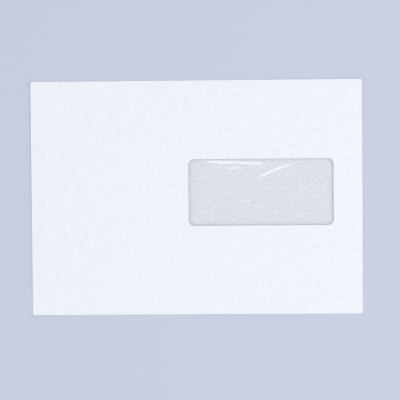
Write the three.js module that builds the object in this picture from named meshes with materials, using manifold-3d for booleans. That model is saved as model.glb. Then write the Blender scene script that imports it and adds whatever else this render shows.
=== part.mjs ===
// A window envelope in the C5 size, lying face up and empty, with its seal flap folded under it and not
// stuck down. Millimetres. X runs along the long side, Y along the short side, and +Z is up. The origin is
// on the table, under the middle of the envelope.
//
// The paper is one die-cut sheet: a front panel that carries a seam flap at each end, the back panel on its
// bottom edge and the seal flap on its top edge. Points of the sheet are given on the flat blank, as the die
// cuts it, and carryToFold() takes each one round its fold to where it ends up. The window is cut out of the
// front panel, a clear film is glued behind it, and glue in the two side seams closes the pocket.
import * as THREE from "three";
import Module from "manifold-3d";

// Folded size and paper
const ENVELOPE_WIDTH = 229;
const ENVELOPE_HEIGHT = 162;
const PAPER_THICKNESS = 0.12;
const CORNER_RADIUS = 1.2;

// The front panel bows up a little between its folds
const CROWN_RISE = 1.2;
const CROWN_POWER = 4;

// Free heights in the folded stack
const POCKET_GAP_AT_FOLDS = 0.2;
const SEAL_FLAP_GAP = 0.15;
const BOND_CLEARANCE = 0.01;

// Window, with its margins as they are seen from the front
const WINDOW_WIDTH = 100;
const WINDOW_HEIGHT = 46;
const WINDOW_CORNER_RADIUS = 4;
const WINDOW_TO_RIGHT_EDGE = 20;
const WINDOW_TO_BOTTOM_EDGE = 61.5;

// Film behind the window, and the frame of glue that holds it
const FILM_THICKNESS = 0.04;
const FILM_BORDER = 10;
const FILM_SLACK = 0.25;
const WINDOW_GLUE_THICKNESS = 0.03;
const WINDOW_GLUE_WIDTH = 6;
const WINDOW_GLUE_FROM_FILM_EDGE = 1.5;

// Back panel and its throat, which is the mouth that a letter goes in by
const MOUTH_DEPTH = 16;
const BACK_PANEL_TAPER = 2;
const BACK_PANEL_CORNER = 6;
const THROAT_DIP = 5;

// Seam flaps, folded in between the panels
const SEAM_FLAP_DEPTH = 17;
const SEAM_FLAP_TAPER = 8;
const SEAM_FLAP_CORNER = 4;

// Seal flap, folded under the back panel
const SEAL_FLAP_DEPTH = 42;
const SEAL_FLAP_TAPER = 14;
const SEAL_FLAP_CORNER = 10;

// Glue in the side seams
const SEAM_GLUE_THICKNESS = 0.03;
const SEAM_GLUE_WIDTH = 8;
const SEAM_GLUE_FROM_FLAP_EDGE = 3;
const SEAM_GLUE_FROM_BOTTOM_FOLD = 14;
const SEAM_GLUE_FROM_MOUTH = 4.5;

// Dried gum along the free edge of the seal flap
const SEAL_GUM_THICKNESS = 0.03;
const SEAL_GUM_WIDTH = 12;
const SEAL_GUM_FROM_FLAP_EDGE = 5;
const SEAL_GUM_END_MARGIN = 4;

// Fineness of the surfaces
const PANEL_STEP = 9;
const BEND_STEPS = 4;
const FLAP_CORNER_STEPS = 6;
const THROAT_STEPS = 14;
const CURVE_SEGMENTS = 4;

const manifold = await Module();
manifold.setup();

// Heights of the middle of each layer of paper, from the table up
const halfPaper = PAPER_THICKNESS / 2;
const sealFlapLevel = halfPaper;
const backPanelLevel = sealFlapLevel + PAPER_THICKNESS + SEAL_FLAP_GAP;
const seamFlapLevel = backPanelLevel + PAPER_THICKNESS + SEAM_GLUE_THICKNESS + 2 * BOND_CLEARANCE;
const frontPanelLevel = seamFlapLevel + PAPER_THICKNESS + POCKET_GAP_AT_FOLDS;

// Each fold turns the sheet through half a circle, from the front panel down to its flap
const sideBend = (frontPanelLevel - seamFlapLevel) / 2;
const bottomBend = (frontPanelLevel - backPanelLevel) / 2;
const topBend = (frontPanelLevel - sealFlapLevel) / 2;

// Fold lines, where the front panel ends and the bends begin
const foldX = ENVELOPE_WIDTH / 2 - sideBend - halfPaper;
const foldTop = ENVELOPE_HEIGHT / 2 - topBend - halfPaper;
const foldBottom = -ENVELOPE_HEIGHT / 2 + bottomBend + halfPaper;
const panelMiddleY = (foldTop + foldBottom) / 2;
const panelHalfHeight = (foldTop - foldBottom) / 2;

// Middle and half size of the window, and of the film behind it
const windowX = ENVELOPE_WIDTH / 2 - WINDOW_TO_RIGHT_EDGE - WINDOW_WIDTH / 2;
const windowY = -ENVELOPE_HEIGHT / 2 + WINDOW_TO_BOTTOM_EDGE + WINDOW_HEIGHT / 2;
const filmHalfWidth = WINDOW_WIDTH / 2 + FILM_BORDER;
const filmHalfHeight = WINDOW_HEIGHT / 2 + FILM_BORDER;

// How far the front panel stands above its folds at a point: flat in the middle, and down to 0 at the folds
function crown(x, y) {
  const across = Math.abs(x / foldX) ** CROWN_POWER;
  const along = Math.abs((y - panelMiddleY) / panelHalfHeight) ** CROWN_POWER;
  return CROWN_RISE * (1 - across) * (1 - along);
}

// The seal flap lifts the top of the envelope, so the rest leans down from there until its bottom fold is on
// the table too. This is how far it has come down at a place along Y.
function lean(y) {
  const lift = backPanelLevel - sealFlapLevel;
  return (lift * Math.max(foldTop - y, 0)) / (foldTop - foldBottom);
}

// Where a point ends up that lies `past` a fold line on the flat blank: how far out from the line, how far
// down from the panel, and through what angle the sheet has turned there
function rollOver(past, bendRadius) {
  const angle = Math.min(past / bendRadius, Math.PI);
  const onFlap = Math.max(past - Math.PI * bendRadius, 0);
  return {
    outwards: bendRadius * Math.sin(angle) - onFlap,
    down: bendRadius * (1 - Math.cos(angle)),
    angle,
  };
}

// The folded place of a point of the flat blank, and the direction that the sheet's outer face looks in
function carryToFold(u, v) {
  const place = new THREE.Vector3(u, v, frontPanelLevel);
  const facing = new THREE.Vector3(0, 0, 1);
  if (Math.abs(u) > foldX) {
    const side = Math.sign(u);
    const roll = rollOver(Math.abs(u) - foldX, sideBend);
    place.set(side * (foldX + roll.outwards), v, frontPanelLevel - roll.down - lean(v));
    facing.set(side * Math.sin(roll.angle), 0, Math.cos(roll.angle));
  } else if (v > foldTop) {
    const roll = rollOver(v - foldTop, topBend);
    place.set(u, foldTop + roll.outwards, frontPanelLevel - roll.down);
    facing.set(0, Math.sin(roll.angle), Math.cos(roll.angle));
  } else if (v < foldBottom) {
    const roll = rollOver(foldBottom - v, bottomBend);
    const y = foldBottom - roll.outwards;
    place.set(u, y, frontPanelLevel - roll.down - lean(y));
    facing.set(0, -Math.sin(roll.angle), Math.cos(roll.angle));
  } else {
    place.z += crown(u, v) - lean(v);
  }
  return { place, facing };
}

// Even steps from one value to another, both ends included
function evenSteps(from, to, count) {
  return Array.from({ length: count + 1 }, (_, i) => THREE.MathUtils.lerp(from, to, i / count));
}

// Even steps that are as fine as the panels need
function panelSteps(from, to) {
  return evenSteps(from, to, Math.ceil((to - from) / PANEL_STEP));
}

// The four-sided cells of a grid whose corners pointAt(i, j) gives
function gridCells(columns, rows, pointAt) {
  const cells = [];
  for (let i = 0; i < columns; i += 1) {
    for (let j = 0; j < rows; j += 1) {
      cells.push([pointAt(i, j), pointAt(i + 1, j), pointAt(i + 1, j + 1), pointAt(i, j + 1)]);
    }
  }
  return cells;
}

// A closed sheet of even thickness over flat cells, each a ring of points. `carry` takes a flat point to the
// middle of the sheet and gives the way that its outer face looks. Cells that share a corner share its two
// vertices, and a side that belongs to one cell only is an edge of the sheet, which gets a wall.
function sheetGeometry(cells, carry, thickness) {
  const positions = [];
  const pairs = new Map();
  const pairAt = ({ x, y }) => {
    const key = `${x.toFixed(4)} ${y.toFixed(4)}`;
    if (!pairs.has(key)) {
      const { place, facing } = carry(x, y);
      pairs.set(key, pairs.size);
      positions.push(...place.clone().addScaledVector(facing, thickness / 2));
      positions.push(...place.clone().addScaledVector(facing, -thickness / 2));
    }
    return pairs.get(key);
  };
  const outer = (pair) => 2 * pair;
  const inner = (pair) => 2 * pair + 1;
  const faces = [];
  const openSides = new Map();
  for (const cell of cells) {
    const ring = cell.map(([u, v]) => new THREE.Vector2(u, v));
    if (THREE.ShapeUtils.isClockWise(ring)) ring.reverse();
    const corners = ring.map(pairAt);
    for (const triangle of THREE.ShapeUtils.triangulateShape(ring, [])) {
      const [a, b, c] = triangle.map((k) => corners[k]);
      faces.push(outer(a), outer(b), outer(c), inner(a), inner(c), inner(b));
    }
    corners.forEach((from, k) => {
      const to = corners[(k + 1) % corners.length];
      if (!openSides.delete(`${to} ${from}`)) openSides.set(`${from} ${to}`, [from, to]);
    });
  }
  for (const [from, to] of openSides.values()) {
    faces.push(outer(from), inner(from), inner(to), outer(from), inner(to), outer(to));
  }
  const geometry = new THREE.BufferGeometry();
  geometry.setAttribute("position", new THREE.Float32BufferAttribute(positions, 3));
  geometry.setIndex(faces);
  return geometry;
}

// The outline of a flap beyond its bend, as places along the fold line and depths. It starts with the places
// on the bend, tapers to round corners, and its free edge may be scooped out by `dip` in the middle.
function flapOutline(stations, flap) {
  const first = stations[0];
  const last = stations[stations.length - 1];
  const middle = (first + last) / 2;
  const halfAtCorner = (last - first) / 2 - flap.taper;
  const cornerDepth = flap.depth - flap.corner;
  const halfEdge = halfAtCorner - flap.corner;
  const side = evenSteps(0, Math.PI / 2, FLAP_CORNER_STEPS).map((angle) => [
    halfEdge + flap.corner * Math.cos(angle),
    cornerDepth + flap.corner * Math.sin(angle),
  ]);
  const edge = flap.dip > 0 ? evenSteps(1, -1, THROAT_STEPS).slice(1, -1) : [];
  return [
    ...stations.map((along) => [along, 0]),
    ...side.map(([half, depth]) => [middle + half, depth]),
    ...edge.map((share) => [middle + share * halfEdge, flap.depth - flap.dip * (1 - share ** 2) ** 2]),
    ...side.toReversed().map(([half, depth]) => [middle - half, depth]),
  ];
}

// The cells of a bend and the flap beyond it. `stations` are the front panel's places along the fold line, and
// `toBlank` turns a place along the line and a distance past it into a point of the blank.
function flapCells(stations, bendRadius, flap, toBlank) {
  const bendLength = Math.PI * bendRadius;
  const bends = evenSteps(0, bendLength, BEND_STEPS);
  return [
    ...gridCells(stations.length - 1, BEND_STEPS, (i, j) => toBlank(stations[i], bends[j])),
    flapOutline(stations, flap).map(([along, depth]) => toBlank(along, bendLength + depth)),
  ];
}

const seamFlap = { depth: SEAM_FLAP_DEPTH, taper: SEAM_FLAP_TAPER, corner: SEAM_FLAP_CORNER, dip: 0 };
const sealFlap = { depth: SEAL_FLAP_DEPTH, taper: SEAL_FLAP_TAPER, corner: SEAL_FLAP_CORNER, dip: 0 };
const backPanel = {
  depth: foldTop - foldBottom - MOUTH_DEPTH,
  taper: BACK_PANEL_TAPER,
  corner: BACK_PANEL_CORNER,
  dip: THROAT_DIP,
};

// Steps across the glued patch behind the window: the film's edge, the two sides of the glue, and between
// them an even fill
function patchSteps(middle, halfSize) {
  const outerGlue = halfSize - WINDOW_GLUE_FROM_FILM_EDGE;
  const innerGlue = outerGlue - WINDOW_GLUE_WIDTH;
  return [-halfSize, -outerGlue, ...panelSteps(-innerGlue, innerGlue), outerGlue, halfSize].map(
    (step) => middle + step,
  );
}

// Steps over the front panel from one fold to the other. They take in the patch's own, so that the paper, the
// glue and the film have the same facets and stay the same distance apart.
function frontSteps(from, to, patch) {
  return [
    from,
    ...panelSteps(from + CORNER_RADIUS, patch[0]),
    ...patch.slice(1, -1),
    ...panelSteps(patch.at(-1), to - CORNER_RADIUS),
    to,
  ];
}

const patchColumns = patchSteps(windowX, filmHalfWidth);
const patchRows = patchSteps(windowY, filmHalfHeight);

// The whole blank: the front panel with its rounded corners, and the four flaps that start between them
function blankCells() {
  const columns = frontSteps(-foldX, foldX, patchColumns);
  const rows = frontSteps(foldBottom, foldTop, patchRows);
  const cornerInset = CORNER_RADIUS * (1 - Math.SQRT1_2);
  const panelPoint = (i, j) => {
    const atSide = i === 0 || i === columns.length - 1;
    const atEnd = j === 0 || j === rows.length - 1;
    if (!atSide || !atEnd) return [columns[i], rows[j]];
    return [
      columns[i] - Math.sign(columns[i]) * cornerInset,
      rows[j] - Math.sign(rows[j]) * cornerInset,
    ];
  };
  const alongX = columns.slice(1, -1);
  const alongY = rows.slice(1, -1);
  return [
    ...gridCells(columns.length - 1, rows.length - 1, panelPoint),
    ...flapCells(alongY, sideBend, seamFlap, (along, past) => [foldX + past, along]),
    ...flapCells(alongY, sideBend, seamFlap, (along, past) => [-foldX - past, along]),
    ...flapCells(alongX, topBend, sealFlap, (along, past) => [along, foldTop + past]),
    ...flapCells(alongX, bottomBend, backPanel, (along, past) => [along, foldBottom - past]),
  ];
}

// A rectangle with round corners, about its own middle
function roundedRectangle(width, height, radius) {
  const x = width / 2;
  const y = height / 2;
  const shape = new THREE.Shape();
  shape.moveTo(radius - x, -y);
  shape.absarc(x - radius, radius - y, radius, -Math.PI / 2, 0);
  shape.absarc(x - radius, y - radius, radius, 0, Math.PI / 2);
  shape.absarc(radius - x, y - radius, radius, Math.PI / 2, Math.PI);
  shape.absarc(radius - x, radius - y, radius, Math.PI, 1.5 * Math.PI);
  return shape;
}

// A level slab of an outline, from one height to another
function slab(outline, x, y, bottom, top) {
  const settings = { depth: top - bottom, bevelEnabled: false, curveSegments: CURVE_SEGMENTS };
  return new THREE.ExtrudeGeometry(outline, settings).translate(x, y, bottom);
}

// A closed geometry as a solid for cutting. Corners that fall on one spot become one vertex.
function solidOf(geometry) {
  const position = geometry.getAttribute("position");
  const order = geometry.index ? Array.from(geometry.index.array) : [...Array(position.count).keys()];
  const vertices = [];
  const seen = new Map();
  const triangles = order.map((k) => {
    const corner = [position.getX(k), position.getY(k), position.getZ(k)];
    const key = corner.map((value) => value.toFixed(5)).join(" ");
    if (!seen.has(key)) {
      seen.set(key, seen.size);
      vertices.push(...corner);
    }
    return seen.get(key);
  });
  const mesh = new manifold.Mesh({
    numProp: 3,
    vertProperties: Float32Array.from(vertices),
    triVerts: Uint32Array.from(triangles),
  });
  return new manifold.Manifold(mesh);
}

// The first geometry with the second cut out of it
function cutOut(geometry, cutter) {
  const mesh = solidOf(geometry).subtract(solidOf(cutter)).getMesh();
  const cut = new THREE.BufferGeometry();
  cut.setAttribute("position", new THREE.BufferAttribute(mesh.vertProperties, 3));
  cut.setIndex(new THREE.BufferAttribute(mesh.triVerts, 1));
  return cut;
}

function namedMesh(name, geometry, material) {
  geometry.computeVertexNormals();
  const mesh = new THREE.Mesh(geometry, material);
  mesh.name = name;
  return mesh;
}

// The folded paper, with the window cut through its front panel alone
function foldedPaper() {
  const folded = sheetGeometry(blankCells(), carryToFold, PAPER_THICKNESS);
  const window = roundedRectangle(WINDOW_WIDTH, WINDOW_HEIGHT, WINDOW_CORNER_RADIUS);
  const cutFrom = frontPanelLevel - halfPaper - POCKET_GAP_AT_FOLDS / 2;
  const cutTo = frontPanelLevel + CROWN_RISE + PAPER_THICKNESS;
  return cutOut(folded, slab(window, windowX, windowY, cutFrom, cutTo));
}

// What is glued behind the front panel follows its bow, this far under the middle of the paper
const windowGlueBelow = halfPaper + BOND_CLEARANCE + WINDOW_GLUE_THICKNESS / 2;
const filmBelow = windowGlueBelow + WINDOW_GLUE_THICKNESS / 2 + BOND_CLEARANCE + FILM_THICKNESS / 2;

// A point of such a layer, which also faces up
function behindFront(x, y, below) {
  const place = new THREE.Vector3(x, y, frontPanelLevel + crown(x, y) - lean(y) - below);
  return { place, facing: new THREE.Vector3(0, 0, 1) };
}

// The film hangs a little slack inside the window, and is held level with the paper all round it
function filmSag(x, y) {
  const across = Math.min(Math.abs(x - windowX) / (WINDOW_WIDTH / 2), 1);
  const along = Math.min(Math.abs(y - windowY) / (WINDOW_HEIGHT / 2), 1);
  return FILM_SLACK * (1 - across ** 2) ** 2 * (1 - along ** 2) ** 2;
}

function windowFilm() {
  const cells = gridCells(patchColumns.length - 1, patchRows.length - 1, (i, j) => [
    patchColumns[i],
    patchRows[j],
  ]);
  const carry = (x, y) => behindFront(x, y, filmBelow + filmSag(x, y));
  return sheetGeometry(cells, carry, FILM_THICKNESS);
}

// The frame of glue lies between the second and third steps of the film from each edge
function windowGlue() {
  const columns = patchColumns.slice(1, -1);
  const rows = patchRows.slice(1, -1);
  const inFrame = ([[left, bottom], , [right, top]]) =>
    left === columns[0] || right === columns.at(-1) || bottom === rows[0] || top === rows.at(-1);
  const cells = gridCells(columns.length - 1, rows.length - 1, (i, j) => [columns[i], rows[j]]);
  const carry = (x, y) => behindFront(x, y, windowGlueBelow);
  return sheetGeometry(cells.filter(inFrame), carry, WINDOW_GLUE_THICKNESS);
}

// A stripe of glue on a seam flap, which the back panel is pressed on to. It leans with them. Side is 1 on
// the right and -1 on the left.
function seamGlue(side) {
  const lowEnd = foldBottom + SEAM_GLUE_FROM_BOTTOM_FOLD;
  const highEnd = foldTop - MOUTH_DEPTH - SEAM_GLUE_FROM_MOUTH;
  const stripe = roundedRectangle(SEAM_GLUE_WIDTH, highEnd - lowEnd, SEAM_GLUE_WIDTH / 2);
  const x = side * (foldX - SEAM_FLAP_DEPTH + SEAM_GLUE_FROM_FLAP_EDGE + SEAM_GLUE_WIDTH / 2);
  const bottom = backPanelLevel + halfPaper + BOND_CLEARANCE;
  const glue = slab(stripe, x, (lowEnd + highEnd) / 2, bottom, bottom + SEAM_GLUE_THICKNESS);
  const position = glue.getAttribute("position");
  for (let k = 0; k < position.count; k += 1) position.setZ(k, position.getZ(k) - lean(position.getY(k)));
  return glue;
}

// The stripe of gum on the seal flap, on the face that will meet the back panel
function sealGum() {
  const straightEdge = foldX - CORNER_RADIUS - SEAL_FLAP_TAPER - SEAL_FLAP_CORNER;
  const length = 2 * (straightEdge - SEAL_GUM_END_MARGIN);
  const stripe = roundedRectangle(length, SEAL_GUM_WIDTH, SEAL_GUM_WIDTH / 2);
  const y = foldTop - SEAL_FLAP_DEPTH + SEAL_GUM_FROM_FLAP_EDGE + SEAL_GUM_WIDTH / 2;
  const bottom = sealFlapLevel + halfPaper + BOND_CLEARANCE;
  return slab(stripe, 0, y, bottom, bottom + SEAL_GUM_THICKNESS);
}

const whitePaper = new THREE.MeshStandardMaterial({ color: 0xeff4fa, roughness: 0.85, metalness: 0 });
const clearFilm = new THREE.MeshStandardMaterial({
  color: 0xe6ecf2,
  roughness: 0.12,
  metalness: 0,
  transparent: true,
  opacity: 0.3,
});
const dryGlue = new THREE.MeshStandardMaterial({ color: 0xece8da, roughness: 0.35, metalness: 0 });

const envelope = new THREE.Group();
envelope.name = "window_envelope";
envelope.add(
  namedMesh("folded_paper", foldedPaper(), whitePaper),
  namedMesh("window_film", windowFilm(), clearFilm),
  namedMesh("window_glue", windowGlue(), dryGlue),
  namedMesh("left_seam_glue", seamGlue(-1), dryGlue),
  namedMesh("right_seam_glue", seamGlue(1), dryGlue),
  namedMesh("seal_gum", sealGum(), dryGlue),
);

export default envelope;
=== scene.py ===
# A C5 window envelope, lying face up with its seal flap folded under. The paper, the film and the glue
# that holds the film are worked out here with fine surfaces. The other CAD pieces keep their shape and get
# a finish. Sizes are in metres, in the part's own frame: X along the long side, Y along the short side, Z up.
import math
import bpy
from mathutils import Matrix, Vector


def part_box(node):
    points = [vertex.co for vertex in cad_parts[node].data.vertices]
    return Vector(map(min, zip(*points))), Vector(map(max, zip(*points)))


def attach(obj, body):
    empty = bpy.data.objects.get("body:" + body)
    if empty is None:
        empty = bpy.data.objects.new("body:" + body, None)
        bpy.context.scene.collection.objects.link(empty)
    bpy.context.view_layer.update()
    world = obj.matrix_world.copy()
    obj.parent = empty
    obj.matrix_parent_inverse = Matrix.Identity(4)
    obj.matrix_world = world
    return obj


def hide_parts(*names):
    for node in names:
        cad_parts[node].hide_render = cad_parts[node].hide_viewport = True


bl_info = {
    "name": "Window envelope",
    "version": (1, 0, 0),
    "blender": (4, 5, 0),
    "location": "3D View > Sidebar > Envelope",
    "description": "Folds a white window envelope, lays its film and lights it on a pale table",
    "category": "Add Mesh",
}

import bpy
import numpy as np

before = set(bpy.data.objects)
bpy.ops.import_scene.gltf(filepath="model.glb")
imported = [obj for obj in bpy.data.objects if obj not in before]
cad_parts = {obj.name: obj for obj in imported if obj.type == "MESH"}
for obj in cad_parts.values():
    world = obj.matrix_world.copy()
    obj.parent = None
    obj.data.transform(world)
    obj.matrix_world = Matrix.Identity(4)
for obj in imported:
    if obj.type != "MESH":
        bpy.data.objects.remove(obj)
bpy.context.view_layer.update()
paper_low, paper_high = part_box("folded_paper")
film_low, film_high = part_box("window_film")

MM = 0.001

# The blank's flaps: how far each side narrows, how round the free corners are, and how far the mouth dips
SEAM_FLAP_TAPER = 8 * MM
SEAM_FLAP_CORNER = 4 * MM
SEAL_FLAP_TAPER = 14 * MM
SEAL_FLAP_CORNER = 10 * MM
BACK_PANEL_TAPER = 2 * MM
BACK_PANEL_CORNER = 6 * MM
THROAT_DIP = 5 * MM

# Steps of the surfaces: along a long side, along a short side and round a corner of an outline
SHEET_STEPS = (110, 78, 8)
GLUE_STEPS = (60, 34, 4)
FRONT_ROWS = 41
FRONT_ROW_BESIDE_FOLD = 0.998
BEND_ROWS = 13
FLAP_ROWS = 16
FLAP_CORNER_ROWS = 12
FLAP_ROWS_BESIDE_FOLD = (0, 0.15 * MM, 0.5 * MM, 1.5 * MM)
FIRST_EVEN_FLAP_ROW = 4 * MM
FILM_STEP = 0.45 * MM
FINE_FILM_PAST_WINDOW = 1.5 * MM
FILM_BORDER_STEPS = 4
GLUE_CORNER_RADIUS = 1.5 * MM
GLUE_ROWS = 5
CREASE_STEPS = 60
WELD_GAP = 0.001 * MM
SHARP_ANGLE = math.radians(50)

# Waves, as wavelength along X, wavelength along Y, phase, and share of the height
COCKLE_WAVES = (
    (74 * MM, 190 * MM, 0.6, 1.0),
    (-150 * MM, 61 * MM, 2.1, 0.7),
    (41 * MM, 88 * MM, 4.0, 0.5),
)
RIPPLE_WAVES = (
    (23 * MM, -31 * MM, 0.4, 1.0),
    (14 * MM, 19 * MM, 1.9, 0.8),
    (9 * MM, -12 * MM, 3.1, 0.5),
)

# How far the middle of the ripple hangs below the smooth film, in shares of its height
RIPPLE_MIDDLE = 2

# Creases of the film, in millimetres from the window's middle: where each starts, passes and ends, its
# depth as a share of the crease setting, and the half width of its shoulders
FILM_CREASES = (
    ((-47, 23.4), (-16, 22.0), (4, 21.0), 1.45, 1.8),
    ((-26, 18.6), (-17, 18.2), (-7, 18.4), 0.54, 2.2),
    ((-7, 8.4), (8, 16.1), (31, 23.8), 0.82, 1.7),
    ((17, -2.8), (31, 5.0), (42, 12.8), 0.66, 2.0),
    ((-20, -7.0), (-12, -5.3), (-3, -4.4), 0.44, 1.2),
    ((-6, -11.0), (0, -8.9), (6, -7.8), 0.46, 1.2),
    ((17, -15.8), (24, -14), (31, -13.4), 0.45, 1.2),
)

# The stage: the table, the sky that the camera and the film see, the lamps and the camera
TABLE_HALF_SIDE = 1.6
TABLE_DROP = 0.02 * MM
SEEN_SKY_LEVEL = 0.95
SKY_COLOUR = (0.98, 0.99, 1.0, 1.0)
SOFTBOX_SIDE = 1.0
SOFTBOX_AWAY = 0.95
SOFTBOX_ABOVE = 0.80
SIDE_SOFTBOX_NEARER = 0.10
KEY_LIGHT_COLOUR = (1.0, 0.985, 0.965)
FILL_LIGHT_COLOUR = (1.0, 0.99, 0.98)
STRIP_LIGHT_COLOUR = (1.0, 1.0, 1.0)
STRIP_PLACE = (0.02, 0.21, 0.95)
STRIP_LENGTH = 0.6
STRIP_DEPTH = 0.15
CAMERA_PLACE = (11.41 * MM, 8.36 * MM, 538.42 * MM)
CAMERA_TURN_DEGREES = (-1.074, 0.950, -0.448)
SENSOR_WIDTH_MM = 36
NEAREST_SEEN = 0.01


# Settings


class EnvelopePaperSettings(bpy.types.PropertyGroup):
    """Sizes of the folded sheet and the look of its paper"""

    width: bpy.props.FloatProperty(
        name="Width",
        description="Length of the long side of the folded envelope",
        default=paper_high.x - paper_low.x,
        unit="LENGTH",
    )
    height: bpy.props.FloatProperty(
        name="Height",
        description="Length of the short side of the folded envelope",
        default=paper_high.y - paper_low.y,
        unit="LENGTH",
    )
    thickness: bpy.props.FloatProperty(
        name="Paper thickness",
        description="Thickness of the sheet",
        default=0.12 * MM,
        precision=5,
        unit="LENGTH",
    )
    crown: bpy.props.FloatProperty(
        name="Bow",
        description="How far the front panel stands above its folds in the middle",
        default=1.2 * MM,
        precision=5,
        unit="LENGTH",
    )
    cockle: bpy.props.FloatProperty(
        name="Cockle",
        description="Height of the slow waves that moisture leaves in the front panel",
        default=0.045 * MM,
        precision=6,
        unit="LENGTH",
    )
    pocket_gap: bpy.props.FloatProperty(
        name="Pocket gap",
        description="Free height inside the pocket along its folds",
        default=0.2 * MM,
        precision=5,
        unit="LENGTH",
    )
    flap_gap: bpy.props.FloatProperty(
        name="Flap gap",
        description="Free height between the seal flap and the back panel at the top fold",
        default=0.15 * MM,
        precision=5,
        unit="LENGTH",
    )
    corner_radius: bpy.props.FloatProperty(
        name="Corner radius",
        description="Rounding of the front panel's corners, between the folds",
        default=0.7 * MM,
        precision=5,
        unit="LENGTH",
    )
    seal_flap_depth: bpy.props.FloatProperty(
        name="Seal flap depth",
        description="How far the seal flap reaches from the top fold",
        default=42 * MM,
        unit="LENGTH",
    )
    seam_flap_depth: bpy.props.FloatProperty(
        name="Seam flap depth",
        description="How far each seam flap reaches in from its side fold",
        default=17 * MM,
        unit="LENGTH",
    )
    mouth_depth: bpy.props.FloatProperty(
        name="Mouth depth",
        description="Distance from the top fold to the back panel's free edge",
        default=16 * MM,
        unit="LENGTH",
    )
    colour: bpy.props.StringProperty(
        name="Paper colour",
        description="Colour of the paper as an sRGB hex value",
        default="EEF2F8",
    )
    cloud_colour: bpy.props.StringProperty(
        name="Cloud colour",
        description="Colour of the denser clouds in the paper as an sRGB hex value",
        default="E8ECF3",
    )
    edge_colour: bpy.props.StringProperty(
        name="Edge colour",
        description="Colour of the cut through the sheet as an sRGB hex value",
        default="D3D8E0",
    )


class EnvelopeFilmSettings(bpy.types.PropertyGroup):
    """Sizes of the window and its film, and the look of the film"""

    window_width: bpy.props.FloatProperty(
        name="Window width",
        description="Length of the window along the long side",
        default=100 * MM,
        unit="LENGTH",
    )
    window_height: bpy.props.FloatProperty(
        name="Window height",
        description="Length of the window along the short side",
        default=46 * MM,
        unit="LENGTH",
    )
    window_corner: bpy.props.FloatProperty(
        name="Window corner radius",
        description="Rounding of the window's corners",
        default=4 * MM,
        precision=5,
        unit="LENGTH",
    )
    thickness: bpy.props.FloatProperty(
        name="Film thickness",
        description="Thickness of the clear film",
        default=0.04 * MM,
        precision=6,
        unit="LENGTH",
    )
    slack: bpy.props.FloatProperty(
        name="Slack",
        description="How far the film hangs down in the middle of the window",
        default=0.25 * MM,
        precision=5,
        unit="LENGTH",
    )
    crease: bpy.props.FloatProperty(
        name="Crease depth",
        description="Depth in the film of a crease whose share is one",
        default=0.32 * MM,
        precision=5,
        unit="LENGTH",
    )
    ripple: bpy.props.FloatProperty(
        name="Ripple",
        description="Height in the film of a wave whose share is one",
        default=0.012 * MM,
        precision=6,
        unit="LENGTH",
    )
    glue_width: bpy.props.FloatProperty(
        name="Glue width",
        description="Width of the frame of glue behind the paper",
        default=6 * MM,
        unit="LENGTH",
    )
    glue_inset: bpy.props.FloatProperty(
        name="Glue inset",
        description="Distance from the film's edge to the glue",
        default=1.5 * MM,
        precision=5,
        unit="LENGTH",
    )
    glue_thickness: bpy.props.FloatProperty(
        name="Glue thickness",
        description="Thickness of the glue between paper and film",
        default=0.03 * MM,
        precision=6,
        unit="LENGTH",
    )
    bond_clearance: bpy.props.FloatProperty(
        name="Bond clearance",
        description="Air left on each side of the glue, so that no two pieces share space",
        default=0.01 * MM,
        precision=6,
        unit="LENGTH",
    )
    # Partly painted shade: this colour is darker than clear film. It stands in for the light the film would
    # keep from the paper behind it, as the film casts no shadow
    tint_and_painted_shade: bpy.props.StringProperty(
        name="Film tint",
        description="Colour of light that has passed through the film, as an sRGB hex value",
        default="EEEFF0",
    )
    # The haziest end of the same colour, carrying the same painted shade; the spread between the two is the
    # film's own uneven haze
    haze_tint_and_painted_shade: bpy.props.StringProperty(
        name="Haze tint",
        description="The same where the film is haziest",
        default="E4E5E7",
    )
    glue_colour: bpy.props.StringProperty(
        name="Glue colour",
        description="Colour of the dried glue as an sRGB hex value",
        default="F0EFE8",
    )
    gum_colour: bpy.props.StringProperty(
        name="Gum colour",
        description="Colour of the dried gum as an sRGB hex value",
        default="E9E2CC",
    )


class EnvelopeStageSettings(bpy.types.PropertyGroup):
    """The table, the light and the camera"""

    table_colour: bpy.props.StringProperty(
        name="Table colour",
        description="Colour of the table top as an sRGB hex value",
        default="C4CCDE",
    )
    sky_level: bpy.props.FloatProperty(
        name="Sky level",
        description="Strength of the even light from all round",
        default=0.48,
        min=0,
        subtype="FACTOR",
    )
    key_power: bpy.props.FloatProperty(
        name="Key power",
        description="Power of the softbox beyond the right end of the envelope",
        default=6.6,
        min=0,
        unit="POWER",
    )
    left_power: bpy.props.FloatProperty(
        name="Left power",
        description="Power of the softbox beyond the left end",
        default=3.7,
        min=0,
        unit="POWER",
    )
    near_power: bpy.props.FloatProperty(
        name="Near power",
        description="Power of the softbox in front of the bottom edge",
        default=2.3,
        min=0,
        unit="POWER",
    )
    far_power: bpy.props.FloatProperty(
        name="Far power",
        description="Power of the softbox beyond the top edge",
        default=1.9,
        min=0,
        unit="POWER",
    )
    strip_power: bpy.props.FloatProperty(
        name="Strip power",
        description="Power of the strip light high above, which the creases of the film mirror",
        default=0.65,
        min=0,
        unit="POWER",
    )
    lens: bpy.props.FloatProperty(
        name="Lens",
        description="Focal length of the camera in millimetres",
        default=70,
        min=10,
        subtype="DISTANCE_CAMERA",
    )


# Colours and materials


def linear_colour(code):
    """The linear RGBA of an sRGB hex value: low values divided by 12.92, the rest raised to the power 2.4"""
    parts = [int(code[k : k + 2], 16) / 255 for k in (0, 2, 4)]
    linear = [p / 12.92 if p <= 0.04045 else ((p + 0.055) / 1.055) ** 2.4 for p in parts]
    return (*linear, 1.0)


def add_node(tree, kind, settings=None, links=None):
    """Adds a node, sets its properties or unlinked inputs by name, and links its inputs from other sockets"""
    node = tree.nodes.new(kind)
    for name, value in (settings or {}).items():
        if name in node.inputs:
            node.inputs[name].default_value = value
        else:
            setattr(node, name, value)
    for name, socket in (links or {}).items():
        tree.links.new(socket, node.inputs[name])
    return node


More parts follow.
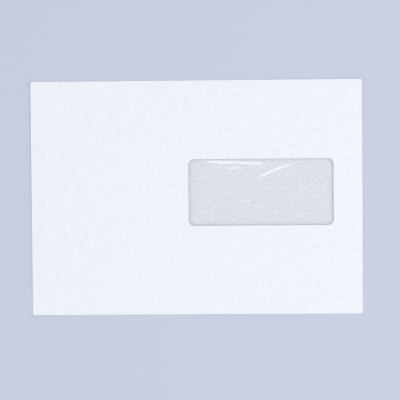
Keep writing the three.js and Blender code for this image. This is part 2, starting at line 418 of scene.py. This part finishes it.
def add_noise(tree, place, grain, detail, roughness=0.5):
    """Noise whose features are about as wide as the grain"""
    return add_node(
        tree,
        "ShaderNodeTexNoise",
        {"Scale": 1 / grain, "Detail": detail, "Roughness": roughness},
        {"Vector": place},
    ).outputs["Fac"]


def emboss(tree, shader, height, rise):
    """Bumps the shader's surface, which stands up by the rise where the height is one"""
    relief = add_node(tree, "ShaderNodeBump", {"Strength": 1.0, "Distance": rise}, {"Height": height})
    tree.links.new(relief.outputs["Normal"], shader.inputs["Normal"])


def new_material(name):
    """An empty material with its surface shader, linked to the output"""
    material = bpy.data.materials.new(name)
    material.use_nodes = True
    tree = material.node_tree
    tree.nodes.clear()
    shader = add_node(tree, "ShaderNodeBsdfPrincipled")
    add_node(tree, "ShaderNodeOutputMaterial", links={"Surface": shader.outputs["BSDF"]})
    return material, tree, shader


def wood_free_paper(paper):
    """Uncoated wood-free writing paper with brightener: a cool white, quite matt, with soft clouds in the
    sheet and a fine felt of fibres that lie mostly along the web. Fibres are 1 to 2 mm long and far too thin
    to see, so the felt is drawn almost 2 mm across to show at all."""
    material, tree, shader = new_material("wood_free_paper")
    place = add_node(tree, "ShaderNodeTexCoord").outputs["Object"]
    along_web = add_node(
        tree, "ShaderNodeMapping", {"Scale": (0.8, 1.0, 1.0)}, {"Vector": place}
    ).outputs["Vector"]
    clouds = add_noise(tree, along_web, 4 * MM, 2.0)
    felt = add_noise(tree, along_web, 1.7 * MM, 2.0, 0.55)
    uneven = add_node(
        tree,
        "ShaderNodeMix",
        {"data_type": "FLOAT", "Factor": 0.75},
        {"A": clouds, "B": felt},
    )
    spread = add_node(
        tree,
        "ShaderNodeMapRange",
        {"From Min": 0.36, "From Max": 0.64, "To Min": 0.0, "To Max": 1.0},
        {"Value": uneven.outputs["Result"]},
    )
    tone = add_node(tree, "ShaderNodeValToRGB", links={"Fac": spread.outputs["Result"]})
    tone.color_ramp.elements[0].color = linear_colour(paper.cloud_colour)
    tone.color_ramp.elements[1].color = linear_colour(paper.colour)
    tree.links.new(tone.outputs["Color"], shader.inputs["Base Color"])
    emboss(tree, shader, felt, 0.018 * MM)
    shader.inputs["Roughness"].default_value = 0.85
    shader.inputs["Specular IOR Level"].default_value = 0.25
    return material


def cut_edge(paper):
    """The cut through the sheet: raw fibre, a little greyer than its faces and quite matt, with the fine burr
    that the die leaves"""
    material, tree, shader = new_material("paper_cut_edge")
    place = add_node(tree, "ShaderNodeTexCoord").outputs["Object"]
    emboss(tree, shader, add_noise(tree, place, 0.3 * MM, 2.0), 0.02 * MM)
    shader.inputs["Base Color"].default_value = linear_colour(paper.edge_colour)
    shader.inputs["Roughness"].default_value = 0.95
    shader.inputs["Specular IOR Level"].default_value = 0.1
    return material


def polystyrene_film(film):
    """Oriented polystyrene window film, 40 micrometres: clear and glossy, with IOR 1.59, and a little uneven
    in how much light it passes, as the film of a cheap roll is. Its colour is darker than clear film's. That
    is painted shade for the light the film would keep from the paper behind it, since it casts no shadow."""
    material, tree, shader = new_material("polystyrene_film")
    place = add_node(tree, "ShaderNodeTexCoord").outputs["Object"]
    haze = add_noise(tree, place, 1.5 * MM, 3.0, 0.6)
    # Colour ramp of the film: the spread is its own uneven haze; the overall darkness is painted shade for
    # the shadow the film does not cast
    tone = add_node(tree, "ShaderNodeValToRGB", links={"Fac": haze})
    tone.color_ramp.elements[0].position = 0.38
    tone.color_ramp.elements[0].color = linear_colour(film.haze_tint_and_painted_shade)
    tone.color_ramp.elements[1].position = 0.62
    tone.color_ramp.elements[1].color = linear_colour(film.tint_and_painted_shade)
    tree.links.new(tone.outputs["Color"], shader.inputs["Base Color"])
    shader.inputs["Roughness"].default_value = 0.12
    shader.inputs["IOR"].default_value = 1.59
    shader.inputs["Transmission Weight"].default_value = 1.0
    return material


def dried_glue(film):
    """Dispersion glue, rolled on and dried: milky and half matt, with the low lumps that the roller leaves"""
    material, tree, shader = new_material("dried_dispersion_glue")
    place = add_node(tree, "ShaderNodeTexCoord").outputs["Object"]
    emboss(tree, shader, add_noise(tree, place, 1.5 * MM, 2.0), 0.01 * MM)
    shader.inputs["Base Color"].default_value = linear_colour(film.glue_colour)
    shader.inputs["Roughness"].default_value = 0.4
    return material


def dextrin_gum(film):
    """Dextrin gum, laid wet and dried: a yellowish glaze with a low orange-peel surface"""
    material, tree, shader = new_material("dextrin_gum")
    place = add_node(tree, "ShaderNodeTexCoord").outputs["Object"]
    emboss(tree, shader, add_noise(tree, place, 2.5 * MM, 2.0), 0.02 * MM)
    shader.inputs["Base Color"].default_value = linear_colour(film.gum_colour)
    shader.inputs["Roughness"].default_value = 0.22
    return material


# The folded stack


def sum_of_waves(x, y, waves):
    """Sum of the waves' sines: each is its share times the sine of a full turn for every wavelength gone
    along X and along Y, plus its phase"""
    return sum(
        share * np.sin(2 * np.pi * (x / length_x + y / length_y) + phase)
        for length_x, length_y, phase, share in waves
    )


class FoldedStack:
    """Heights of the layers, radii of the folds and the shape of the front panel, from the settings"""

    def __init__(self, paper, film):
        half_paper = paper.thickness / 2
        self.seal_flap = half_paper
        self.back_panel = self.seal_flap + paper.thickness + paper.flap_gap
        glued = paper.thickness + film.glue_thickness + 2 * film.bond_clearance
        self.seam_flap = self.back_panel + glued
        self.front_panel = self.seam_flap + paper.thickness + paper.pocket_gap
        self.side_bend = (self.front_panel - self.seam_flap) / 2
        self.bottom_bend = (self.front_panel - self.back_panel) / 2
        self.top_bend = (self.front_panel - self.seal_flap) / 2
        self.fold_x = paper.width / 2 - self.side_bend - half_paper
        self.fold_top = paper.height / 2 - self.top_bend - half_paper
        self.fold_bottom = -paper.height / 2 + self.bottom_bend + half_paper
        self.middle_y = (self.fold_top + self.fold_bottom) / 2
        self.half_y = (self.fold_top - self.fold_bottom) / 2
        self.crown = paper.crown
        self.cockle = paper.cockle

    def bow(self, x, y):
        """Height of the front panel above its folds: a flat-topped crown, one minus the fourth power of the
        way to the folds, times the same along Y, with three slow waves of cockle on it that die out at the
        folds too"""
        inside = (1 - np.abs(x / self.fold_x) ** 4) * (1 - np.abs((y - self.middle_y) / self.half_y) ** 4)
        return inside * (self.crown + self.cockle * sum_of_waves(x, y, COCKLE_WAVES))

    def lean(self, y):
        """How far the envelope has come down at y, in a straight line from the top fold, which lies on the
        seal flap, to the bottom fold, which lies on the table"""
        lift = self.back_panel - self.seal_flap
        return lift * np.maximum(self.fold_top - y, 0) / (self.fold_top - self.fold_bottom)

    def front(self, x, y):
        """Height of the middle of the front panel's paper"""
        return self.front_panel + self.bow(x, y) - self.lean(y)

    def fold(self, u, v):
        """Folded places of points of the flat blank, and the way their outer face looks. A point past a fold
        line goes round half a circle by that distance over the radius, and what is left over runs back
        under the front panel."""
        past_side = np.maximum(np.abs(u) - self.fold_x, 0)
        past_top = np.maximum(v - self.fold_top, 0)
        past_bottom = np.maximum(self.fold_bottom - v, 0)
        past = past_side + past_top + past_bottom
        radius = np.select(
            [past_side > 0, past_top > 0],
            [self.side_bend, self.top_bend],
            self.bottom_bend,
        )
        angle = np.minimum(past / radius, np.pi)
        outwards = radius * np.sin(angle) - np.maximum(past - np.pi * radius, 0)
        way_x = np.sign(u) * (past_side > 0)
        way_y = 1.0 * (past_top > 0) - 1.0 * (past_bottom > 0)
        fold_x = np.clip(u, -self.fold_x, self.fold_x)
        fold_y = np.clip(v, self.fold_bottom, self.fold_top)
        y = fold_y + way_y * outwards
        lean = np.where(past_top > 0, 0, self.lean(y))
        z = self.front_panel + self.bow(fold_x, fold_y) - radius * (1 - np.cos(angle)) - lean
        place = np.stack([fold_x + way_x * outwards, y, z], axis=-1)
        facing = np.stack([way_x * np.sin(angle), way_y * np.sin(angle), np.cos(angle)], axis=-1)
        return place, facing


# Grids and meshes


def grid_quads(rows, columns, closed=False):
    """Corner numbers of the quads of a grid that is stored row by row. A closed grid joins its last column
    to its first."""
    numbers = np.arange(rows * columns).reshape(rows, columns)
    if closed:
        numbers = np.concatenate([numbers, numbers[:, :1]], axis=1)
    low = numbers[:-1]
    high = numbers[1:]
    return np.stack([low[:, :-1], low[:, 1:], high[:, 1:], high[:, :-1]], axis=-1).reshape(-1, 4)


def joined(patches):
    """Points and quads of several patches as one, where points at the same place on the flat are the same
    point, and each quad turned anticlockwise"""
    starts = np.cumsum([0] + [len(points) for points, _ in patches])
    points = np.concatenate([points for points, _ in patches])
    quads = np.concatenate([quads + start for (_, quads), start in zip(patches, starts)])
    _, first, same = np.unique(
        np.round(points / WELD_GAP), axis=0, return_index=True, return_inverse=True
    )
    quads = same.reshape(-1)[quads]
    points = points[first]
    across = points[quads[:, 2]] - points[quads[:, 0]]
    other = points[quads[:, 3]] - points[quads[:, 1]]
    clockwise = across[:, 0] * other[:, 1] - across[:, 1] * other[:, 0] < 0
    quads[clockwise] = quads[clockwise][:, ::-1]
    return points, quads


def closed_sheet(name, place, facing, quads, thickness):
    """A closed sheet: the middle surface moved half the thickness along its facing and half against it, and
    a wall on each side of a quad that no other quad shares"""
    count = len(place)
    sides = np.stack([quads, np.roll(quads, -1, axis=1)], axis=-1).reshape(-1, 2)
    code = np.sort(sides, axis=1) @ np.array([count, 1])
    _, first, uses = np.unique(code, return_index=True, return_counts=True)
    rim = sides[first[uses == 1]]
    walls = np.stack([rim[:, 0], rim[:, 0] + count, rim[:, 1] + count, rim[:, 1]], axis=1)
    faces = np.concatenate([quads, quads[:, ::-1] + count, walls])
    points = np.concatenate([place + facing * thickness / 2, place - facing * thickness / 2])
    mesh = bpy.data.meshes.new(name)
    mesh.vertices.add(len(points))
    mesh.vertices.foreach_set("co", points.astype(np.float32).ravel())
    mesh.loops.add(faces.size)
    mesh.loops.foreach_set("vertex_index", faces.astype(np.int32).ravel())
    mesh.polygons.add(len(faces))
    mesh.polygons.foreach_set("loop_start", np.arange(0, faces.size, 4, dtype=np.int32))
    mesh.update(calc_edges=True)
    mesh.shade_smooth()
    mesh.set_sharp_from_angle(angle=SHARP_ANGLE)
    piece = bpy.data.objects.new(name, mesh)
    bpy.context.scene.collection.objects.link(piece)
    return piece


def dress(piece, material, slot, *nodes):
    """Gives a new piece its material and its place in the model: it rides on the root body and stands for
    the named nodes"""
    piece.data.materials.append(material)
    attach(piece, "root")
    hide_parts(*nodes)


def refinish(node, material):
    """A CAD node keeps its shape and gets a finished material"""
    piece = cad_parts[node]
    piece.data.materials.clear()
    piece.data.materials.append(material)


def rounded_outline(low, high, radius, steps):
    """Closed outline of a rectangle with round corners, anticlockwise from the start of its bottom side. Each
    side has steps[0] or steps[1] pieces, and each corner steps[2], turned evenly through a right angle."""
    share_x = np.linspace(0, 1, steps[0] + 1)
    share_y = np.linspace(0, 1, steps[1] + 1)
    turn = np.linspace(0, np.pi / 2, steps[2] + 1)[1:-1]
    x0, y0 = low[0] + radius, low[1] + radius
    x1, y1 = high[0] - radius, high[1] - radius
    bottom = np.stack([x0 + (x1 - x0) * share_x, np.full_like(share_x, low[1])], axis=-1)
    right = np.stack([np.full_like(share_y, high[0]), y0 + (y1 - y0) * share_y], axis=-1)
    top = np.stack([x1 - (x1 - x0) * share_x, np.full_like(share_x, high[1])], axis=-1)
    left = np.stack([np.full_like(share_y, low[0]), y1 - (y1 - y0) * share_y], axis=-1)
    arcs = [
        np.stack([x + radius * np.cos(turn + start), y + radius * np.sin(turn + start)], axis=-1)
        for x, y, start in (
            (x1, y0, -np.pi / 2),
            (x1, y1, 0),
            (x0, y1, np.pi / 2),
            (x0, y0, np.pi),
        )
    ]
    return np.concatenate([bottom, arcs[0], right, arcs[1], top, arcs[2], left, arcs[3]])


def front_patch(stack, paper, film):
    """The front panel round its window: straight lines from the window's outline to the panel's, with the
    points bunched towards both ends by a smooth step, and one more close to the folds, where the shading
    turns"""
    window_x = (film_low.x + film_high.x) / 2
    window_y = (film_low.y + film_high.y) / 2
    half = np.array([film.window_width, film.window_height]) / 2
    middle = np.array([window_x, window_y])
    inner = rounded_outline(middle - half, middle + half, film.window_corner, SHEET_STEPS)
    outer = rounded_outline(
        (-stack.fold_x, stack.fold_bottom),
        (stack.fold_x, stack.fold_top),
        paper.corner_radius,
        SHEET_STEPS,
    )
    even = np.linspace(0, 1, FRONT_ROWS)
    bunched = 0.5 * even + 0.5 * even**2 * (3 - 2 * even)
    way = np.insert(bunched, -1, FRONT_ROW_BESIDE_FOLD)[:, None, None]
    points = (inner + way * (outer - inner)).reshape(-1, 2)
    return points, grid_quads(len(way), len(inner), closed=True)


def flap_patches(half_at_fold, middle, steps, bend_radius, shape, to_blank):
    """A fold and the flap beyond it. The fold is a strip half a circle long. The flap's rows run across it
    and lie closest together beside the fold. Each is as wide as a straight taper and then a round corner make
    it, and bows back in the middle by the dip, as the square of one minus the square of the way to the
    corner."""
    depth, taper, corner, dip = shape
    share = np.linspace(-1, 1, steps + 1)
    bend_length = np.pi * bend_radius
    bend_past = np.linspace(0, bend_length, BEND_ROWS)
    bend = to_blank(*np.broadcast_arrays(middle + share * half_at_fold, bend_past[:, None]))
    corner_depth = depth - corner
    turn = np.linspace(0, np.pi / 2, FLAP_CORNER_ROWS + 1)[1:]
    even_rows = np.linspace(FIRST_EVEN_FLAP_ROW, corner_depth, FLAP_ROWS)
    corner_rows = corner_depth + corner * np.sin(turn)
    rows = np.concatenate([FLAP_ROWS_BESIDE_FOLD, even_rows, corner_rows])
    half_edge = half_at_fold - taper - corner
    straight = half_at_fold - taper * rows / corner_depth
    rounded = half_edge + np.sqrt(np.maximum(corner**2 - (rows - corner_depth) ** 2, 0))
    half = np.where(rows > corner_depth, rounded, straight)
    along = share * half[:, None]
    hump = (1 - np.minimum(np.abs(along) / half_edge, 1) ** 2) ** 2
    past = bend_length + rows[:, None] * (1 - dip / depth * hump)
    flap = to_blank(middle + along, past)
    return [
        (bend.reshape(-1, 2), grid_quads(*bend.shape[:2])),
        (flap.reshape(-1, 2), grid_quads(*flap.shape[:2])),
    ]


def folded_sheet(paper, film):
    """The whole sheet, laid out flat as the die cuts it and then folded. Its walls, which are its last faces,
    take the second finish, of the cut edge."""
    stack = FoldedStack(paper, film)
    long_steps, short_steps, _ = SHEET_STEPS
    half_x = stack.fold_x - paper.corner_radius
    half_y = stack.half_y - paper.corner_radius
    seam_flap = (paper.seam_flap_depth, SEAM_FLAP_TAPER, SEAM_FLAP_CORNER, 0)
    seal_flap = (paper.seal_flap_depth, SEAL_FLAP_TAPER, SEAL_FLAP_CORNER, 0)
    back_depth = stack.fold_top - stack.fold_bottom - paper.mouth_depth
    back_panel = (back_depth, BACK_PANEL_TAPER, BACK_PANEL_CORNER, THROAT_DIP)

    def to_right(along, past):
        return np.stack([stack.fold_x + past, along], axis=-1)

    def to_left(along, past):
        return np.stack([-stack.fold_x - past, along], axis=-1)

    def to_top(along, past):
        return np.stack([along, stack.fold_top + past], axis=-1)

    def to_bottom(along, past):
        return np.stack([along, stack.fold_bottom - past], axis=-1)

    patches = [front_patch(stack, paper, film)]
    patches += flap_patches(half_y, stack.middle_y, short_steps, stack.side_bend, seam_flap, to_right)
    patches += flap_patches(half_y, stack.middle_y, short_steps, stack.side_bend, seam_flap, to_left)
    patches += flap_patches(half_x, 0, long_steps, stack.top_bend, seal_flap, to_top)
    patches += flap_patches(half_x, 0, long_steps, stack.bottom_bend, back_panel, to_bottom)
    points, quads = joined(patches)
    place, facing = stack.fold(points[:, 0], points[:, 1])
    piece = closed_sheet("paper_sheet", place, facing, quads, paper.thickness)
    finish_number = np.zeros(len(piece.data.polygons), dtype=np.int32)
    finish_number[2 * len(quads) :] = 1
    piece.data.polygons.foreach_set("material_index", finish_number)
    return piece


def crease_depth(x, y, crease):
    """Depth of a crease in the film, as a share of the crease setting: it follows a smooth curve of the
    second degree through three points, falls off on both sides as a bell curve, and swells from its ends as
    a half sine to the power 0.7"""
    start, through, end, depth, width = crease
    t = np.linspace(0, 1, CREASE_STEPS + 1)[:, None]
    a, b, c = (np.array(p) * MM for p in (start, through, end))
    curve = a * (1 - t) * (1 - 2 * t) + 4 * b * t * (1 - t) + c * t * (2 * t - 1)
    gaps = np.hypot(x[..., None] - curve[:, 0], y[..., None] - curve[:, 1])
    nearest = np.argmin(gaps, axis=-1)
    gap = np.take_along_axis(gaps, nearest[..., None], axis=-1)[..., 0]
    swell = np.sin(np.pi * nearest / CREASE_STEPS) ** 0.7
    return depth * swell * np.exp(-((gap / (width * MM)) ** 2))


def film_places(middle, half_window, half_film):
    """Places across the film: even fine steps over the window and a little beyond, coarse ones in the glue"""
    fine = half_window + FINE_FILM_PAST_WINDOW
    count = round(2 * fine / FILM_STEP)
    inner = np.linspace(-fine, fine, count + 1)
    border = np.linspace(fine, half_film, FILM_BORDER_STEPS + 1)[1:]
    return middle + np.concatenate([-border[::-1], inner, border])


def window_film(paper, film):
    """The film: it follows the front panel from below, hangs slack inside the window as a bell that is flat
    at the glue, and carries a low ripple and a few creases there. Ripple and creases both hang downwards, and
    die out towards the glue as one minus the sixth power of the way to it."""
    stack = FoldedStack(paper, film)
    half_film_x = (film_high.x - film_low.x) / 2
    half_film_y = (film_high.y - film_low.y) / 2
    window_x = (film_low.x + film_high.x) / 2
    window_y = (film_low.y + film_high.y) / 2
    columns = film_places(window_x, film.window_width / 2, half_film_x)
    rows = film_places(window_y, film.window_height / 2, half_film_y)
    x, y = np.meshgrid(columns, rows)
    glue_x = half_film_x - film.glue_inset - film.glue_width
    glue_y = half_film_y - film.glue_inset - film.glue_width
    across = np.minimum(np.abs(x - window_x) / glue_x, 1)
    along = np.minimum(np.abs(y - window_y) / glue_y, 1)
    free = (1 - across**6) * (1 - along**6)
    slack = film.slack * (1 - across**2) ** 2 * (1 - along**2) ** 2
    ripple = film.ripple * (RIPPLE_MIDDLE + sum_of_waves(x, y, RIPPLE_WAVES))
    creases = sum(crease_depth(x - window_x, y - window_y, crease) for crease in FILM_CREASES)
    below = paper.thickness / 2 + film.glue_thickness + 2 * film.bond_clearance + film.thickness / 2
    z = stack.front(x, y) - below - slack - free * (film.crease * creases + ripple)
    place = np.stack([x, y, z], axis=-1).reshape(-1, 3)
    facing = np.broadcast_to([0.0, 0.0, 1.0], place.shape)
    return closed_sheet("clear_film", place, facing, grid_quads(*x.shape), film.thickness)


def film_glue(paper, film):
    """The frame of glue: a band round the film, straight lines from its inner outline to its outer one, lying
    against the front panel's underside"""
    stack = FoldedStack(paper, film)
    low = np.array([film_low.x, film_low.y]) + film.glue_inset
    high = np.array([film_high.x, film_high.y]) - film.glue_inset
    width = film.glue_width
    outer = rounded_outline(low, high, GLUE_CORNER_RADIUS, GLUE_STEPS)
    inner = rounded_outline(low + width, high - width, GLUE_CORNER_RADIUS, GLUE_STEPS)
    way = np.linspace(0, 1, GLUE_ROWS)[:, None, None]
    band = (inner + way * (outer - inner)).reshape(-1, 2)
    points, quads = joined([(band, grid_quads(GLUE_ROWS, len(inner), closed=True))])
    x, y = points[:, 0], points[:, 1]
    below = paper.thickness / 2 + film.bond_clearance + film.glue_thickness / 2
    place = np.stack([x, y, stack.front(x, y) - below], axis=-1)
    facing = np.broadcast_to([0.0, 0.0, 1.0], place.shape)
    return closed_sheet("film_glue_frame", place, facing, quads, film.glue_thickness)


# Operators


class ENVELOPE_OT_fold_paper(bpy.types.Operator):
    """Folds the paper sheet out of its die-cut blank"""

    bl_idname = "envelope.fold_paper"
    bl_label = "Fold the paper"

    def execute(self, context):
        paper = context.scene.envelope_paper
        piece = folded_sheet(paper, context.scene.envelope_film)
        dress(piece, wood_free_paper(paper), "white_paper", "folded_paper")
        piece.data.materials.append(cut_edge(paper))
        return {"FINISHED"}


class ENVELOPE_OT_lay_film(bpy.types.Operator):
    """Lays the creased film behind the window. It casts no shadow on the paper behind it; that shade is
    painted into the film's colour instead
    """

    bl_idname = "envelope.lay_film"
    bl_label = "Lay the film"

    def execute(self, context):
        film = context.scene.envelope_film
        piece = window_film(context.scene.envelope_paper, film)
        piece.visible_shadow = False
        piece.visible_diffuse = False
        dress(piece, polystyrene_film(film), "clear_film", "window_film")
        return {"FINISHED"}


class ENVELOPE_OT_spread_glue(bpy.types.Operator):
    """Spreads the glue round the film and finishes the seam glue and the gum"""

    bl_idname = "envelope.spread_glue"
    bl_label = "Spread the glue"

    def execute(self, context):
        film = context.scene.envelope_film
        glue = dried_glue(film)
        piece = film_glue(context.scene.envelope_paper, film)
        dress(piece, glue, "dry_glue", "window_glue")
        refinish("left_seam_glue", glue)
        refinish("right_seam_glue", glue)
        refinish("seal_gum", dextrin_gum(film))
        return {"FINISHED"}


def table_top(colour):
    """A plain matt table top, which keeps the envelope's shadow"""
    material, tree, shader = new_material("painted_table_top")
    shader.inputs["Base Color"].default_value = linear_colour(colour)
    shader.inputs["Roughness"].default_value = 0.9
    shader.inputs["Specular IOR Level"].default_value = 0.1
    half = TABLE_HALF_SIDE
    mesh = bpy.data.meshes.new("table_top")
    corners = [(-half, -half, 0), (half, -half, 0), (half, half, 0), (-half, half, 0)]
    mesh.from_pydata(corners, [], [(0, 1, 2, 3)])
    mesh.materials.append(material)
    top = bpy.data.objects.new("table_top", mesh)
    top.location.z = -TABLE_DROP
    bpy.context.scene.collection.objects.link(top)


def even_sky(level):
    """Even light from all round at the given level. The camera and whatever mirrors or lets through the sky
    see it nearly white."""
    sky = bpy.data.worlds.new("even_sky")
    sky.use_nodes = True
    tree = sky.node_tree
    rays = add_node(tree, "ShaderNodeLightPath").outputs
    seen = add_node(
        tree,
        "ShaderNodeMath",
        {"operation": "ADD"},
        {0: rays["Is Camera Ray"], 1: rays["Is Glossy Ray"]},
    )
    seen_too = add_node(
        tree,
        "ShaderNodeMath",
        {"operation": "ADD", "use_clamp": True},
        {0: seen.outputs["Value"], 1: rays["Is Transmission Ray"]},
    )
    strength = add_node(
        tree,
        "ShaderNodeMix",
        {"data_type": "FLOAT", "A": level, "B": SEEN_SKY_LEVEL},
        {"Factor": seen_too.outputs["Value"]},
    )
    background = tree.nodes["Background"]
    background.inputs["Color"].default_value = SKY_COLOUR
    tree.links.new(strength.outputs["Result"], background.inputs["Strength"])
    return sky


def softbox(name, place, width, height, power, colour):
    """A rectangular lamp that looks at the middle of the envelope"""
    lamp = bpy.data.lights.new(name, "AREA")
    lamp.shape = "RECTANGLE"
    lamp.size = width
    lamp.size_y = height
    lamp.energy = power
    lamp.color = colour
    light = bpy.data.objects.new(name, lamp)
    light.location = place
    light.rotation_mode = "QUATERNION"
    light.rotation_quaternion = (-light.location).to_track_quat("-Z", "Y")
    bpy.context.scene.collection.objects.link(light)


class ENVELOPE_OT_set_stage(bpy.types.Operator):
    """Puts the envelope on a pale table under soft light, with the camera almost straight above it"""

    bl_idname = "envelope.set_stage"
    bl_label = "Set the stage"

    def execute(self, context):
        stage = context.scene.envelope_stage
        table_top(stage.table_colour)
        context.scene.world = even_sky(stage.sky_level)
        lamps = (
            ("key_softbox", SOFTBOX_AWAY, -SIDE_SOFTBOX_NEARER, stage.key_power, KEY_LIGHT_COLOUR),
            ("left_softbox", -SOFTBOX_AWAY, -SIDE_SOFTBOX_NEARER, stage.left_power, FILL_LIGHT_COLOUR),
            ("near_softbox", 0.0, -SOFTBOX_AWAY, stage.near_power, FILL_LIGHT_COLOUR),
            ("far_softbox", 0.0, SOFTBOX_AWAY, stage.far_power, FILL_LIGHT_COLOUR),
        )
        for name, x, y, power, colour in lamps:
            softbox(name, (x, y, SOFTBOX_ABOVE), SOFTBOX_SIDE, SOFTBOX_SIDE, power, colour)
        softbox("strip_light", STRIP_PLACE, STRIP_LENGTH, STRIP_DEPTH, stage.strip_power, STRIP_LIGHT_COLOUR)
        view = bpy.data.cameras.new("view_from_above")
        view.lens = stage.lens
        view.sensor_width = SENSOR_WIDTH_MM
        view.clip_start = NEAREST_SEEN
        camera = bpy.data.objects.new("view_from_above", view)
        camera.location = CAMERA_PLACE
        camera.rotation_euler = [math.radians(angle) for angle in CAMERA_TURN_DEGREES]
        context.scene.collection.objects.link(camera)
        context.scene.camera = camera
        context.scene.view_settings.view_transform = "Standard"
        return {"FINISHED"}


class ENVELOPE_PT_steps(bpy.types.Panel):
    """Steps that make the envelope, in order, with their settings"""

    bl_idname = "ENVELOPE_PT_steps"
    bl_label = "Window envelope"
    bl_space_type = "VIEW_3D"
    bl_region_type = "UI"
    bl_category = "Envelope"

    def draw(self, context):
        layout = self.layout
        scene = context.scene
        steps = (
            (ENVELOPE_OT_fold_paper, scene.envelope_paper),
            (ENVELOPE_OT_lay_film, scene.envelope_film),
            (ENVELOPE_OT_spread_glue, None),
            (ENVELOPE_OT_set_stage, scene.envelope_stage),
        )
        for step, settings in steps:
            box = layout.box()
            if settings:
                for name in settings.bl_rna.properties.keys():
                    if name not in ("rna_type", "name"):
                        box.prop(settings, name)
            box.operator(step.bl_idname)


CLASSES = (
    EnvelopePaperSettings,
    EnvelopeFilmSettings,
    EnvelopeStageSettings,
    ENVELOPE_OT_fold_paper,
    ENVELOPE_OT_lay_film,
    ENVELOPE_OT_spread_glue,
    ENVELOPE_OT_set_stage,
    ENVELOPE_PT_steps,
)


def register():
    for item in CLASSES:
        bpy.utils.register_class(item)
    bpy.types.Scene.envelope_paper = bpy.props.PointerProperty(type=EnvelopePaperSettings)
    bpy.types.Scene.envelope_film = bpy.props.PointerProperty(type=EnvelopeFilmSettings)
    bpy.types.Scene.envelope_stage = bpy.props.PointerProperty(type=EnvelopeStageSettings)


def unregister():
    del bpy.types.Scene.envelope_stage
    del bpy.types.Scene.envelope_film
    del bpy.types.Scene.envelope_paper
    for item in reversed(CLASSES):
        bpy.utils.unregister_class(item)


def main():
    register()
    bpy.ops.envelope.fold_paper()
    bpy.ops.envelope.lay_film()
    bpy.ops.envelope.spread_glue()
    bpy.ops.envelope.set_stage()


if __name__ == "__main__":
    main()
